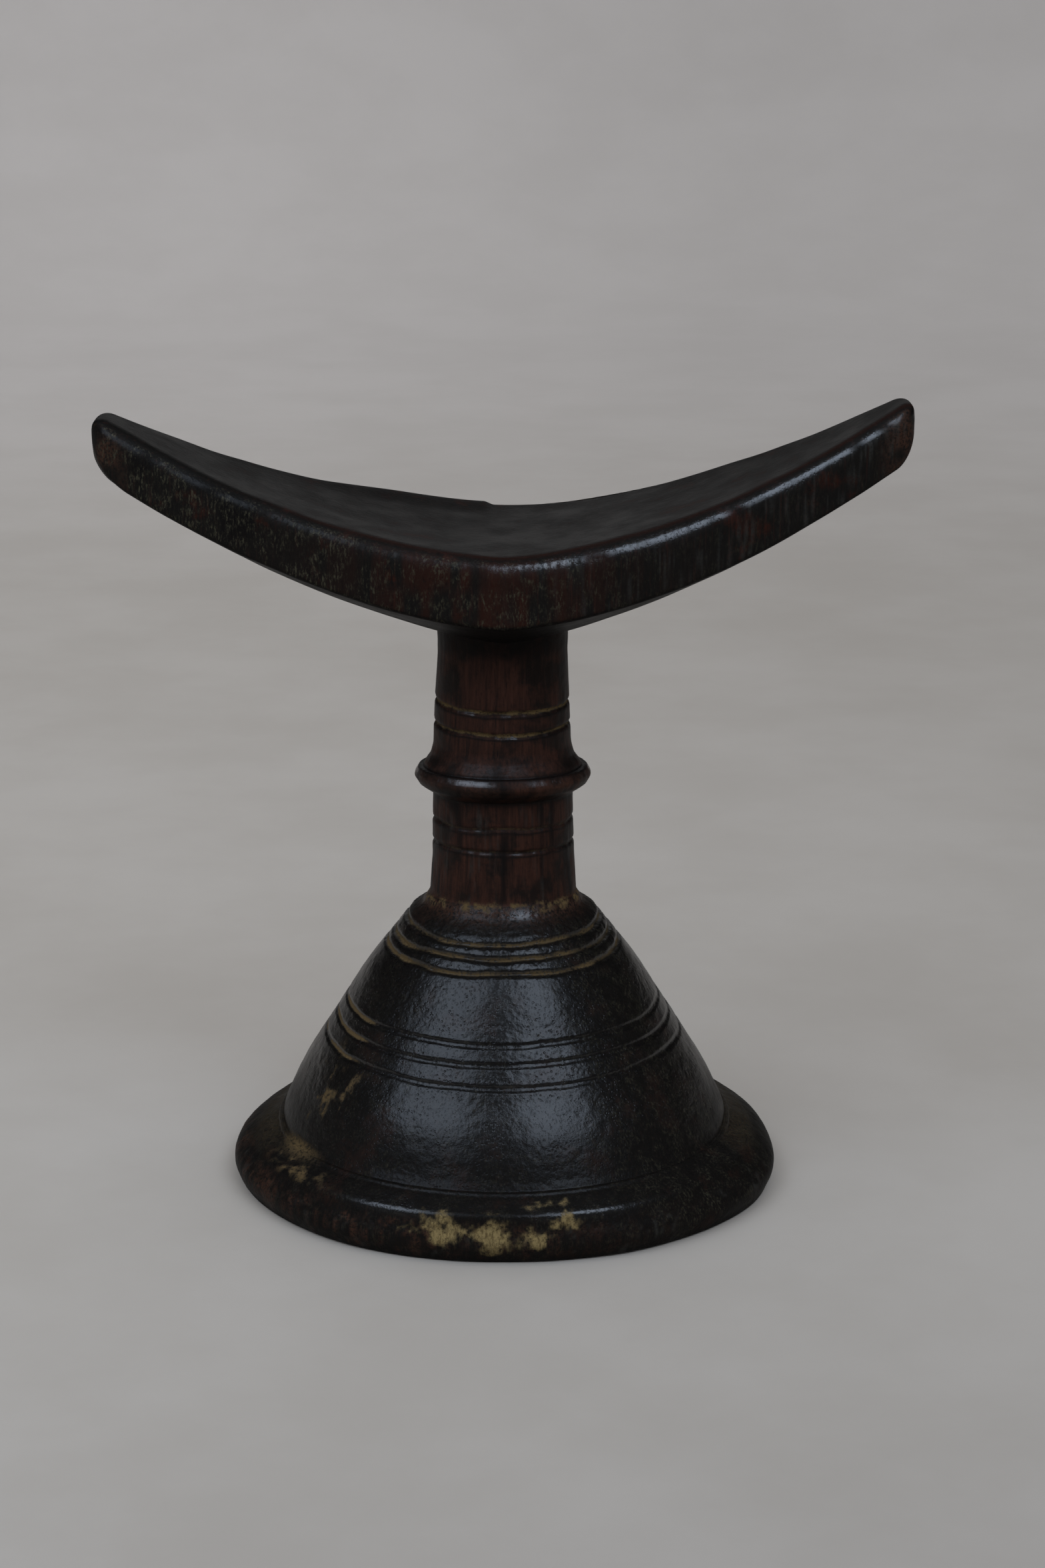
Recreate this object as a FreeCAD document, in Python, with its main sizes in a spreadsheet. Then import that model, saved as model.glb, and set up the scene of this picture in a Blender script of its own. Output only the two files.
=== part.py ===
import FreeCAD, Part
import math
import os
import Sketcher

# A carved wooden headrest: a crescent saddle on a short round column and a wide conical foot.
# The real object is cut from one block of hardwood, so nothing here is fastened or moves.
# Each zone that the carver formed is one solid, and neighbouring solids meet face to face.
#
# Frame: millimetres, +Z up, the foot stands on Z = 0, the turned axis is Z, and the saddle's
# two wings reach along -X and +X. The user's neck lies across the saddle, along Y.

# Driving dimensions: alias, value, meaning. Lengths are in millimetres.
DIMENSIONS = [
    ("rest_length", 175.4, "tip to tip along X"),
    ("rest_depth", 62.0, "front to back at the middle of the saddle"),
    ("tip_depth", 12.0, "front to back at each tip"),
    ("plan_power", 1.5, "how the depth falls from middle to tip"),
    ("seat_level", 146.4, "height of the saddle's lowest line"),
    ("left_rise", 25.4, "rise of the -X tip above the seat"),
    ("right_rise", 28.9, "rise of the +X tip above the seat"),
    ("crest_power", 1.75, "how the top climbs from middle to tip"),
    ("face_mid", 15.0, "height of the long edge face at the middle"),
    ("face_tip", 12.2, "height of the long edge face at a tip"),
    ("keel_mid", 23.6, "saddle thickness on its centre line at the middle"),
    ("keel_tip", 12.8, "saddle thickness on its centre line at a tip"),
    ("keel_share", 0.3, "flat of the keel as a share of the saddle's depth"),
    ("column_top_radius", 13.9, "column radius under the saddle"),
    ("column_head_level", 132.0, "column's blank end, before the saddle is fitted over it"),
    ("collar_top_level", 96.5, "top of the collar"),
    ("collar_low_level", 88.2, "underside of the collar"),
    ("collar_peak_level", 92.4, "widest ring of the collar"),
    ("collar_radius", 18.9, "collar radius at its widest"),
    ("collar_round", 4.6, "radius of the collar's full lower band"),
    ("collar_hollow", 8.0, "radius of the collar's hollow upper slope"),
    ("neck_radius", 15.1, "column radius just above the collar"),
    ("waist_radius", 15.4, "column radius just below the collar"),
    ("column_foot_radius", 16.1, "column radius where it leaves the foot"),
    ("shoulder_level", 65.0, "where the column leaves the foot"),
    ("shoulder_edge_level", 61.8, "top of the foot's slope, under the hollow round the column"),
    ("shoulder_edge_radius", 19.2, "radius of the foot's slope at that level"),
    ("shoulder_hollow", 4.5, "radius of the hollow round the column"),
    ("cone_top_level", 52.5, "below the upper set of incised rings"),
    ("cone_top_radius", 26.8, "foot radius at that level"),
    ("cone_low_level", 12.5, "where the slope meets the rim"),
    ("cone_low_radius", 51.0, "foot radius at that level"),
    ("rim_edge_level", 9.2, "outer edge of the rim's top"),
    ("rim_edge_radius", 56.4, "radius of that edge"),
    ("rim_peak_level", 4.2, "widest ring of the rim"),
    ("foot_radius", 60.8, "foot radius at its widest"),
    ("rim_round", 9.0, "radius of the rim's rounded wall above its widest ring"),
    ("rim_under_round", 14.0, "radius of the rim's rounded wall below its widest ring"),
    ("stand_radius", 59.3, "outer radius of the face it stands on"),
    ("dish_radius", 46.0, "radius of the shallow hollow underneath"),
    ("dish_depth", 6.0, "depth of the shallow hollow underneath"),
    ("groove_depth", 0.7, "depth of an incised ring"),
    ("groove_width", 1.7, "width of an incised ring at the surface"),
    ("upper_ring_level", 104.0, "lowest incised ring above the collar"),
    ("upper_ring_pitch", 5.0, "spacing of the rings above the collar"),
    ("lower_ring_level", 77.2, "lowest incised ring below the collar"),
    ("lower_ring_pitch", 5.1, "spacing of the rings below the collar"),
    ("shoulder_ring_level", 53.9, "lowest incised ring of the foot's upper set"),
    ("shoulder_ring_pitch", 2.7, "spacing of that set"),
    ("cone_ring_level", 33.1, "lowest incised ring of the foot's lower set"),
    ("cone_ring_pitch", 3.9, "spacing of that set"),
]

# How far along each wing a cross-section of the saddle is drawn, from 0 at the middle to 1 at the tip.
WING_STATIONS = [0.12, 0.3, 0.5, 0.7, 0.86, 1.0]
COLUMN_RINGS = 2
FOOT_RINGS = 3
WOOD_DENSITY = 0.75e-3  # grams per cubic millimetre, a dense dry hardwood


def cell(name):
    """The expression for one cell of the sheet."""
    return "Dimensions." + name


def make_sheet(doc):
    sheet = doc.addObject("Spreadsheet::Sheet", "Dimensions")
    for row, (alias, number, meaning) in enumerate(DIMENSIONS, start=1):
        sheet.set(f"A{row}", alias)
        sheet.set(f"B{row}", str(number))
        sheet.set(f"C{row}", meaning)
        sheet.setAlias(f"B{row}", alias)
    doc.recompute()
    return sheet


def make_body(doc, label):
    body = doc.addObject("PartDesign::Body", label)
    body.Label = label
    body.Placement = FreeCAD.Placement()
    return body


def make_sketch(body, name, role):
    """A sketch lying on one of its body's own origin planes."""
    sketch = body.newObject("Sketcher::SketchObject", name)
    plane = next(feature for feature in body.Origin.OriginFeatures if feature.Role == role)
    sketch.AttachmentSupport = [(plane, "")]
    sketch.MapMode = "FlatFace"
    return sketch


def size_of(sketch, expression):
    """The present value of an expression, as a plain number."""
    answer = sketch.evalExpression(expression)
    return float(getattr(answer, "Value", answer))


def bulged_edge(start, end, radius):
    """An arc from start to end. It bulges to the right of the way there, or left if radius is negative."""
    chord = end - start
    sagitta = abs(radius) - math.sqrt(radius * radius - chord.Length * chord.Length / 4)
    outwards = FreeCAD.Vector(chord.y, -chord.x, 0).normalize() * math.copysign(sagitta, radius)
    return Part.Arc(start, (start + end) / 2 + outwards, end)


def tie_point(sketch, edge, end, axis, expression):
    """Holds one coordinate of a point at an expression: axis is X or Y of the sketch."""
    if expression == "0":
        on_axis = -2 if axis == "X" else -1
        sketch.addConstraint(Sketcher.Constraint("PointOnObject", edge, end, on_axis))
        return
    length = size_of(sketch, expression)
    held = sketch.addConstraint(Sketcher.Constraint("Distance" + axis, -1, 1, edge, end, length))
    sketch.setExpression(f"Constraints[{held}]", expression)


def draw_outline(sketch, corners, rounds=None):
    """A closed outline through corners, each a pair of expressions.

    rounds holds the radius of each curved edge, under the number of the corner that it starts from."""
    rounds = rounds or {}
    points = [FreeCAD.Vector(size_of(sketch, x), size_of(sketch, y), 0) for x, y in corners]
    ends = []
    for number, start in enumerate(points):
        finish = points[(number + 1) % len(points)]
        if number in rounds:
            radius = size_of(sketch, rounds[number])
            edge = sketch.addGeometry(bulged_edge(start, finish, radius), False)
            starts_here = sketch.getPoint(edge, 1).distanceToPoint(start) < 1e-4
            ends.append((edge, 1, 2) if starts_here else (edge, 2, 1))
        else:
            edge = sketch.addGeometry(Part.LineSegment(start, finish), False)
            ends.append((edge, 1, 2))
    for number, (edge, _, last) in enumerate(ends):
        next_edge, first, _ = ends[(number + 1) % len(ends)]
        sketch.addConstraint(Sketcher.Constraint("Coincident", edge, last, next_edge, first))
    for number, (x, y) in enumerate(corners):
        edge, first, _ = ends[number]
        tie_point(sketch, edge, first, "X", x)
        tie_point(sketch, edge, first, "Y", y)
    for number, expression in rounds.items():
        edge = ends[number][0]
        radius = abs(size_of(sketch, expression))
        held = sketch.addConstraint(Sketcher.Constraint("Radius", edge, radius))
        sketch.setExpression(f"Constraints[{held}]", f"abs({expression})")


def turn(body, name, corners, rounds=None):
    """A solid of revolution about Z from half of its outline: corners are (radius, height)."""
    sketch = make_sketch(body, name + "_outline", "XZ_Plane")
    draw_outline(sketch, corners, rounds)
    sketch.Document.recompute()
    revolution = body.newObject("PartDesign::Revolution", name)
    revolution.Profile = sketch
    revolution.ReferenceAxis = (sketch, ["V_Axis"])
    revolution.Angle = 360.0
    sketch.Visibility = False
    sketch.Document.recompute()
    return revolution


def taper(level, low, high):
    """The radius of a straight-sided zone at a level, as an expression. low and high are (level, radius)."""
    share = f"(({level}) - {low[0]}) / ({high[0]} - {low[0]})"
    return f"{low[1]} + ({high[1]} - {low[1]}) * {share}"


def incise_rings(body, name, lowest, pitch, count, low, high):
    """Cuts V rings round a straight-sided zone that runs from low to high, each a (level, radius)."""
    before = body.Shape.Volume
    depth = cell("groove_depth")
    width = cell("groove_width")
    for number in range(count):
        level = f"{lowest} + {number} * {pitch}"
        # The V stands as far outside the wood as it cuts into it, so it is half as wide at the surface.
        corners = [
            (f"{taper(level, low, high)} - {depth}", level),
            (f"{taper(f'{level} - {width}', low, high)} + {depth}", f"{level} - {width}"),
            (f"{taper(f'{level} + {width}', low, high)} + {depth}", f"{level} + {width}"),
        ]
        sketch = make_sketch(body, f"{name}_{number + 1}_outline", "XZ_Plane")
        draw_outline(sketch, corners)
        sketch.Document.recompute()
        groove = body.newObject("PartDesign::Groove", f"{name}_{number + 1}")
        groove.Profile = sketch
        groove.ReferenceAxis = (sketch, ["V_Axis"])
        groove.Angle = 360.0
        sketch.Visibility = False
        sketch.Document.recompute()
    if body.Shape.Volume >= before:
        raise RuntimeError(f"{name} cut nothing")


def saddle_section(body, side, station):
    """One hexagonal cross-section of the saddle: flat top, upright long edges, and a blunt keel below."""
    wing = "left" if side < 0 else "right"
    name = "middle_section" if station == 0 else f"{wing}_section_{round(station * 100)}"
    sketch = make_sketch(body, name, "YZ_Plane")
    sketch.setExpression("AttachmentOffset.Base.z", f"{side} * {station} * {cell('rest_length')} / 2")
    half_depth = (
        f"({cell('rest_depth')} - ({cell('rest_depth')} - {cell('tip_depth')})"
        f" * {station} ^ {cell('plan_power')}) / 2"
    )
    top = f"{cell('seat_level')} + {cell(wing + '_rise')} * {station} ^ {cell('crest_power')}"
    face = f"({cell('face_mid')} + ({cell('face_tip')} - {cell('face_mid')}) * {station})"
    keel = f"({cell('keel_mid')} + ({cell('keel_tip')} - {cell('keel_mid')}) * {station})"
    keel_half = f"{cell('keel_share')} * {half_depth}"
    draw_outline(sketch, [
        (f"-({keel_half})", f"{top} - {keel}"),
        (keel_half, f"{top} - {keel}"),
        (half_depth, f"{top} - {face}"),
        (half_depth, top),
        (f"-({half_depth})", top),
        (f"-({half_depth})", f"{top} - {face}"),
    ])
    sketch.Visibility = False
    return sketch


def make_head_rest(doc):
    """The saddle: one loft through cross-sections from the -X tip to the +X tip."""
    body = make_body(doc, "head_rest")
    left = [saddle_section(body, -1, station) for station in reversed(WING_STATIONS)]
    right = [saddle_section(body, 1, station) for station in WING_STATIONS]
    sections = left + [saddle_section(body, 1, 0)] + right
    doc.recompute()
    loft = body.newObject("PartDesign::AdditiveLoft", "saddle")
    loft.Profile = sections[0]
    loft.Sections = sections[1:]
    loft.Ruled = False
    loft.Closed = False
    doc.recompute()
    return body


def make_upper_column(doc, head_rest):
    """From the collar up to the saddle's keel. Its blank end is cut to the underside of the saddle."""
    blank = make_body(doc, "upper_column_blank")
    foot = (cell("collar_top_level"), cell("neck_radius"))
    head = (cell("column_head_level"), cell("column_top_radius"))
    turn(blank, "upper_stem", [
        ("0", foot[0]),
        (foot[1], foot[0]),
        (head[1], head[0]),
        ("0", head[0]),
    ])
    incise_rings(
        blank, "upper_ring", cell("upper_ring_level"), cell("upper_ring_pitch"), COLUMN_RINGS, foot, head
    )
    column = doc.addObject("Part::Cut", "upper_column")
    column.Label = "upper_column"
    column.Base = blank
    column.Tool = head_rest
    column.Placement = FreeCAD.Placement()
    doc.recompute()
    return column


def make_collar(doc):
    """The raised ring round the column: a full round band under a hollow slope."""
    body = make_body(doc, "collar")
    turn(body, "collar_ring", [
        ("0", cell("collar_low_level")),
        (cell("waist_radius"), cell("collar_low_level")),
        (cell("collar_radius"), cell("collar_peak_level")),
        (cell("neck_radius"), cell("collar_top_level")),
        ("0", cell("collar_top_level")),
    ], {1: cell("collar_round"), 2: "-" + cell("collar_hollow")})
    return body


def make_lower_column(doc):
    """From the foot up to the collar."""
    body = make_body(doc, "lower_column")
    foot = (cell("shoulder_level"), cell("column_foot_radius"))
    head = (cell("collar_low_level"), cell("waist_radius"))
    turn(body, "lower_stem", [
        ("0", foot[0]),
        (foot[1], foot[0]),
        (head[1], head[0]),
        ("0", head[0]),
    ])
    incise_rings(
        body, "lower_ring", cell("lower_ring_level"), cell("lower_ring_pitch"), COLUMN_RINGS, foot, head
    )
    return body


def make_foot_shoulder(doc):
    """The top of the foot, with the upper set of incised rings and a hollow up to the column."""
    body = make_body(doc, "foot_shoulder")
    low = (cell("cone_top_level"), cell("cone_top_radius"))
    high = (cell("shoulder_edge_level"), cell("shoulder_edge_radius"))
    turn(body, "shoulder", [
        ("0", low[0]),
        (low[1], low[0]),
        (high[1], high[0]),
        (cell("column_foot_radius"), cell("shoulder_level")),
        ("0", cell("shoulder_level")),
    ], {2: "-" + cell("shoulder_hollow")})
    incise_rings(
        body, "shoulder_ring", cell("shoulder_ring_level"), cell("shoulder_ring_pitch"), FOOT_RINGS, low, high
    )
    return body


def make_foot_cone(doc):
    """The wide slope of the foot, with the lower set of incised rings."""
    body = make_body(doc, "foot_cone")
    low = (cell("cone_low_level"), cell("cone_low_radius"))
    high = (cell("cone_top_level"), cell("cone_top_radius"))
    turn(body, "slope", [
        ("0", low[0]),
        (low[1], low[0]),
        (high[1], high[0]),
        ("0", high[0]),
    ])
    incise_rings(body, "cone_ring", cell("cone_ring_level"), cell("cone_ring_pitch"), FOOT_RINGS, low, high)
    return body


def make_foot_rim(doc):
    """The rim it stands on: a round-walled disc that is dished underneath, so that only its edge touches."""
    body = make_body(doc, "foot_rim")
    dish_round = f"({cell('dish_radius')} ^ 2 + {cell('dish_depth')} ^ 2) / (2 * {cell('dish_depth')})"
    turn(body, "rim", [
        ("0", cell("dish_depth")),
        (cell("dish_radius"), "0"),
        (cell("stand_radius"), "0"),
        (cell("foot_radius"), cell("rim_peak_level")),
        (cell("rim_edge_radius"), cell("rim_edge_level")),
        (cell("cone_low_radius"), cell("cone_low_level")),
        ("0", cell("cone_low_level")),
    ], {0: "-" + dish_round, 2: cell("rim_under_round"), 3: cell("rim_round")})
    return body


def check_document(doc, pieces):
    """Stops the build if anything in the document failed, or if a piece isn't one sound solid."""
    for item in doc.Objects:
        if "Invalid" in item.State or "Error" in item.State:
            raise RuntimeError(f"{item.Label} failed: {item.State}")
    for piece in pieces:
        shape = piece.Shape
        if shape.isNull() or not shape.isValid() or len(shape.Solids) != 1:
            raise RuntimeError(f"{piece.Label} isn't one sound solid")


def export_pieces(pieces):
    os.makedirs("parts", exist_ok=True)
    total = 0.0
    for piece in pieces:
        box = piece.Shape.optimalBoundingBox(False)
        total += piece.Shape.Volume
        size = f"{box.XLength:.1f} x {box.YLength:.1f} x {box.ZLength:.1f} mm"
        print(f"{piece.Label}: {size}, Z {box.ZMin:.1f} to {box.ZMax:.1f}")
        piece.Shape.exportStep(os.path.join("parts", piece.Label + ".step"))
    print(f"volume {total / 1000:.0f} cm3, about {total * WOOD_DENSITY:.0f} g")


def main():
    doc = FreeCAD.newDocument("headrest")
    make_sheet(doc)
    head_rest = make_head_rest(doc)
    pieces = [
        head_rest,
        make_upper_column(doc, head_rest),
        make_collar(doc),
        make_lower_column(doc),
        make_foot_shoulder(doc),
        make_foot_cone(doc),
        make_foot_rim(doc),
    ]
    doc.recompute()
    check_document(doc, pieces)
    export_pieces(pieces)


main()
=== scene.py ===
import math

import bpy
import numpy as np
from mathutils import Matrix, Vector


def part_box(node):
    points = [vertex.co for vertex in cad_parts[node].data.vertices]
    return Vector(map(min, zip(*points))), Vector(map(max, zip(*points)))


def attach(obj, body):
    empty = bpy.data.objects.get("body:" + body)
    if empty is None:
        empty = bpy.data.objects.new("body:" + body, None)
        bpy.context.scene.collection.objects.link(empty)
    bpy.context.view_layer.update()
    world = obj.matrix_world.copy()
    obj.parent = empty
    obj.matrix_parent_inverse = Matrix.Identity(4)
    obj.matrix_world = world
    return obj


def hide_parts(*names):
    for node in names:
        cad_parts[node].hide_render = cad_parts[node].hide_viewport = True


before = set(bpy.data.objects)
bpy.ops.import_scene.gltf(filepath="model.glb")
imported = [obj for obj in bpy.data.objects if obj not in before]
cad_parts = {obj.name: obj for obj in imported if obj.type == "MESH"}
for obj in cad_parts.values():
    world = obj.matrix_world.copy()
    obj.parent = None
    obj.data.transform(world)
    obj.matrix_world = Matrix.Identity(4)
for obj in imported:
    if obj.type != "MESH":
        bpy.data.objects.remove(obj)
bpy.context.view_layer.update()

# A headrest carved from one block of dark wood. Lengths are millimetres until a mesh is made.
MM = 0.001

# ---------------------------------------------------------------- noise

# Odd multipliers that scatter the three cell numbers and the seed, and then stir the result.
CELL_SCATTER = [np.uint64(73856093), np.uint64(19349663), np.uint64(83492791)]
SEED_SCATTER = 2654435761
STIR = [(np.uint64(15), np.uint64(2246822519)), (np.uint64(13), np.uint64(3266489917))]
LAST_SHIFT = np.uint64(16)
LARGEST = np.uint64(0xFFFFFFFF)


def lattice(cells, seed):
    """A repeatable number from 0 to 1 for each whole-numbered cell, given as an (..., 3) array."""
    parts = cells.astype(np.int64).astype(np.uint64)
    mixed = np.uint64(seed * SEED_SCATTER)
    for axis, scatter in enumerate(CELL_SCATTER):
        mixed = mixed ^ (parts[..., axis] * scatter)
    mixed = mixed & LARGEST
    for shift, scatter in STIR:
        mixed = (mixed ^ (mixed >> shift)) * scatter & LARGEST
    return (mixed ^ (mixed >> LAST_SHIFT)).astype(float) / float(LARGEST)


def noise(points, size, seed):
    """Smooth noise from -1 to 1, with lumps about size across. size is a length, or one for each axis.

    seed picks one pattern out of many."""
    spot = points / np.asarray(size, float)
    base = np.floor(spot)
    part = spot - base
    part = part * part * (3 - 2 * part)
    total = 0.0
    for corner in np.ndindex(2, 2, 2):
        share = np.prod(np.where(np.array(corner) == 1, part, 1 - part), axis=-1)
        total = total + share * lattice(base + corner, seed)
    return 2 * total - 1


def pits(points, size, seed):
    """1 at the middle of scattered dents about size apart, and 0 between them."""
    spot = points / np.asarray(size, float)
    base = np.floor(spot)
    nearest = np.full(points.shape[:-1], 9.0)
    for corner in np.ndindex(3, 3, 3):
        cell = base + corner - 1
        jitter = np.stack([lattice(cell, seed + axis) for axis in range(3)], axis=-1)
        nearest = np.minimum(nearest, np.linalg.norm(spot - cell - jitter, axis=-1))
    return np.clip(1 - 2 * nearest, 0, 1)


def smooth(value, low, high):
    """0 below low, 1 above high, and a smooth ramp between them. low may be the larger one."""
    share = np.clip((value - low) / (high - low), 0, 1)
    return share * share * (3 - 2 * share)


def bump_at(value, centre, width):
    """A soft bump, 1 at centre and about 0 two widths away."""
    return np.exp(-(((value - centre) / width) ** 2))


# ---------------------------------------------------------------- meshes

CURVE_POINTS = 13  # along the curve that rounds one corner of an outline
MOST_OF_SIDE = 0.48  # a rounding takes no more than this share of the outline's side


def grid_faces(rows, columns):
    """Quads between neighbouring rows of a grid of points whose columns run round and close."""
    row = np.arange(rows - 1)[:, None] * columns
    here = np.arange(columns)[None, :]
    there = (here + 1) % columns
    quads = np.stack([row + here, row + there, row + columns + there, row + columns + here], axis=-1)
    return quads.reshape(-1, 4)


def surface_normals(points):
    """The outward normal at each point of a (rows, columns, 3) grid whose columns run round and close."""
    along = np.gradient(points, axis=0)
    round_it = np.roll(points, -1, axis=1) - np.roll(points, 1, axis=1)
    normals = np.cross(round_it, along)
    return normals / np.maximum(np.linalg.norm(normals, axis=-1), 1e-9)[..., None]


def closed_mesh(name, points, normals, layers):
    """A closed mesh from a (rows, columns, 3) grid in millimetres, with a flat fan over each end.

    normals shade it, so that zones cut from one surface show no seam. layers are named
    (rows, columns) arrays that the materials read as attributes."""
    rows, columns = points.shape[:2]
    ends = np.stack([points[0].mean(axis=0), points[-1].mean(axis=0)])
    vertices = np.concatenate([points.reshape(-1, 3), ends]) * MM
    first, last = rows * columns, rows * columns + 1
    here = np.arange(columns)
    there = (here + 1) % columns
    top = (rows - 1) * columns
    faces = grid_faces(rows, columns).tolist()
    faces += [(int(b), int(a), first) for a, b in zip(here, there)]
    faces += [(int(top + a), int(top + b), last) for a, b in zip(here, there)]
    mesh = bpy.data.meshes.new(name)
    mesh.from_pydata(vertices.tolist(), [], faces)
    mesh.polygons.foreach_set("use_smooth", np.ones(len(faces), bool))
    for layer, values in layers.items():
        attribute = mesh.attributes.new(layer, "FLOAT", "POINT")
        flat = values.reshape(-1)
        flat = np.concatenate([flat, [values[0].mean(), values[-1].mean()]])
        attribute.data.foreach_set("value", flat.astype(np.float32))
    ends_look = np.stack([points[0] - points[1], points[-1] - points[-2]]).mean(axis=1)
    ends_look /= np.linalg.norm(ends_look, axis=1)[:, None]
    mesh.normals_split_custom_set_from_vertices(np.concatenate([normals.reshape(-1, 3), ends_look]).tolist())
    mesh.update()
    piece = bpy.data.objects.new(name, mesh)
    bpy.context.scene.collection.objects.link(piece)
    return piece


def rounded_path(corners):
    """An open outline through (across, up, rounding) corners, each rounded with a curve."""
    knots = [np.array(corner[:2], float) for corner in corners]
    path = [knots[0]]
    for before, here, after, corner in zip(knots, knots[1:], knots[2:], corners[1:]):
        back, ahead = before - here, after - here
        back_length, ahead_length = np.linalg.norm(back), np.linalg.norm(ahead)
        back, ahead = back / back_length, ahead / ahead_length
        half_angle = math.acos(np.clip(back @ ahead, -1, 1)) / 2
        longest = MOST_OF_SIDE * min(back_length, ahead_length)
        reach = min(corner[2] / math.tan(half_angle), longest)
        for share in np.linspace(0, 1, CURVE_POINTS):
            path.append(here + back * reach * (1 - share) ** 2 + ahead * reach * share**2)
    path.append(knots[-1])
    return np.array(path)


def walk(path, step):
    """The path again, as evenly spaced points about step apart."""
    lengths = np.concatenate([[0], np.cumsum(np.linalg.norm(np.diff(path, axis=0), axis=1))])
    count = max(2, round(lengths[-1] / step) + 1)
    places = np.linspace(0, lengths[-1], count)
    return np.stack([np.interp(places, lengths, path[:, axis]) for axis in (0, 1)], axis=-1)


# ---------------------------------------------------------------- the turned column and foot


def half_width(cad_node):
    """Half of a CAD node's width along X, in millimetres."""
    low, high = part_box(cad_node)
    return (high.x - low.x) / 2 / MM


def low_level(cad_node):
    """The height of a CAD node's lowest point, in millimetres."""
    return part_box(cad_node)[0].z / MM


RIM_TOP = low_level("foot_cone")
SHOULDER_LOW = low_level("foot_shoulder")
SHOULDER_TOP = low_level("lower_column")
COLLAR_LOW = low_level("collar")
COLLAR_TOP = low_level("upper_column")
SADDLE_LOW = low_level("head_rest")
FOOT_RADIUS = half_width("foot_rim")
CONE_LOW_RADIUS = half_width("foot_cone")
CONE_TOP_RADIUS = half_width("foot_shoulder")
COLLAR_RADIUS = half_width("collar")
COLUMN_FOOT_RADIUS = half_width("lower_column")
COLUMN_TOP_RADIUS = 14.1
DISH_DEPTH = 6.0
DISH_RADIUS = 46.0
STAND_INNER_RADIUS = FOOT_RADIUS - 7

TURNED_COLUMNS = 512
FINE_STEP = 0.3  # between rows where the surface is seen
COARSE_STEP = 1.6  # between rows underneath

# Incised rings: level, depth, reach of the lips to each side, share of the reach that is a flat
# bottom, how far the ring dips at the front, and how much old dust it holds.
RINGS = [
    (33.1, 0.26, 0.95, 0.45, 0.1, 0.0),
    (37.2, 0.26, 0.95, 0.45, 0.1, 0.0),
    (40.9, 0.26, 0.95, 0.45, 0.1, 0.0),
    (53.9, 0.70, 1.3, 0.0, 0.2, 0.64),
    (56.7, 0.70, 1.3, 0.0, 0.2, 0.60),
    (59.5, 0.70, 1.3, 0.0, 0.2, 0.58),
    (77.2, 0.50, 1.0, 0.0, 0.0, 0.35),
    (82.3, 0.50, 1.0, 0.0, 0.0, 0.35),
    (104.0, 0.65, 1.1, 0.0, 0.0, 0.8),
    (109.0, 0.65, 1.1, 0.0, 0.0, 0.8),
]

WANDER, QUICK_WANDER = 0.3, 0.12  # how far a ring strays up and down, in slow and in quick waves
UNEVEN_DEPTH = 0.3  # how much a ring's depth varies, as a share of it

# The rings and the collar aren't quite level: at these heights they ride up at the front by this much.
RIDE_LEVELS = [9.0, 12.0, 18.0, 30.0, 61.0, 64.0, 72.0, 80.0, 89.0, 96.0, 104.0]
RIDE_UP = [0.0, 0.9, 0.9, 0.0, 0.0, 1.4, 0.9, 0.8, 1.3, 1.2, 0.0]
LEAN = -0.3  # the column and cone stand this far towards -X of the rim's centre

# Where the rim's wall has worn in, or stands out if negative: depth, angle from the front, and reach.
RIM_WEAR = [
    (2.8, 0.0, 0.62),
    (0.6, -0.85, 0.4),
    (-0.8, -1.25, 0.35),
    (-1.7, 1.2, 0.32),
]
RIM_BACK_WEAR = 2.0  # how far the rim's upper edge is pulled in at the sides and back

# Gold-coloured marks on the rim: strength, angle from the front and its reach, level and its reach.
GILT_MARKS = [
    (1.0, -0.22, 0.14, 7.2, 3.6),
    (1.0, -0.06, 0.10, 6.4, 4.0),
    (0.9, 0.10, 0.08, 5.2, 3.6),
    (0.75, 0.24, 0.12, 9.2, 2.0),
    (0.7, 0.14, 0.16, 11.3, 0.7),
]

# How far hand work moves the turned surface, in millimetres.
LUMP, LUMP_MORE_AT_RIM, SMALL_LUMP = 0.30, 0.25, 0.16
CHATTER, CHATTER_MORE_AT_SHOULDER = 0.045, 0.05
DENT, DENT_MORE_AT_SHOULDER = 0.07, 0.08
GRAIN_RIDGE = 0.04

# Levels of the turned shape's edges and hollows, where wear, painted shade and shine gather.
RIM_EDGE = 10.3
SHOULDER_EDGE = 61.9
COLLAR_ROUND = 92.2
COLLAR_ROUND_TOP = 93.2
COLLAR_CREASE = 94.0
COLLAR_HOLLOW = 95.6


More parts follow.
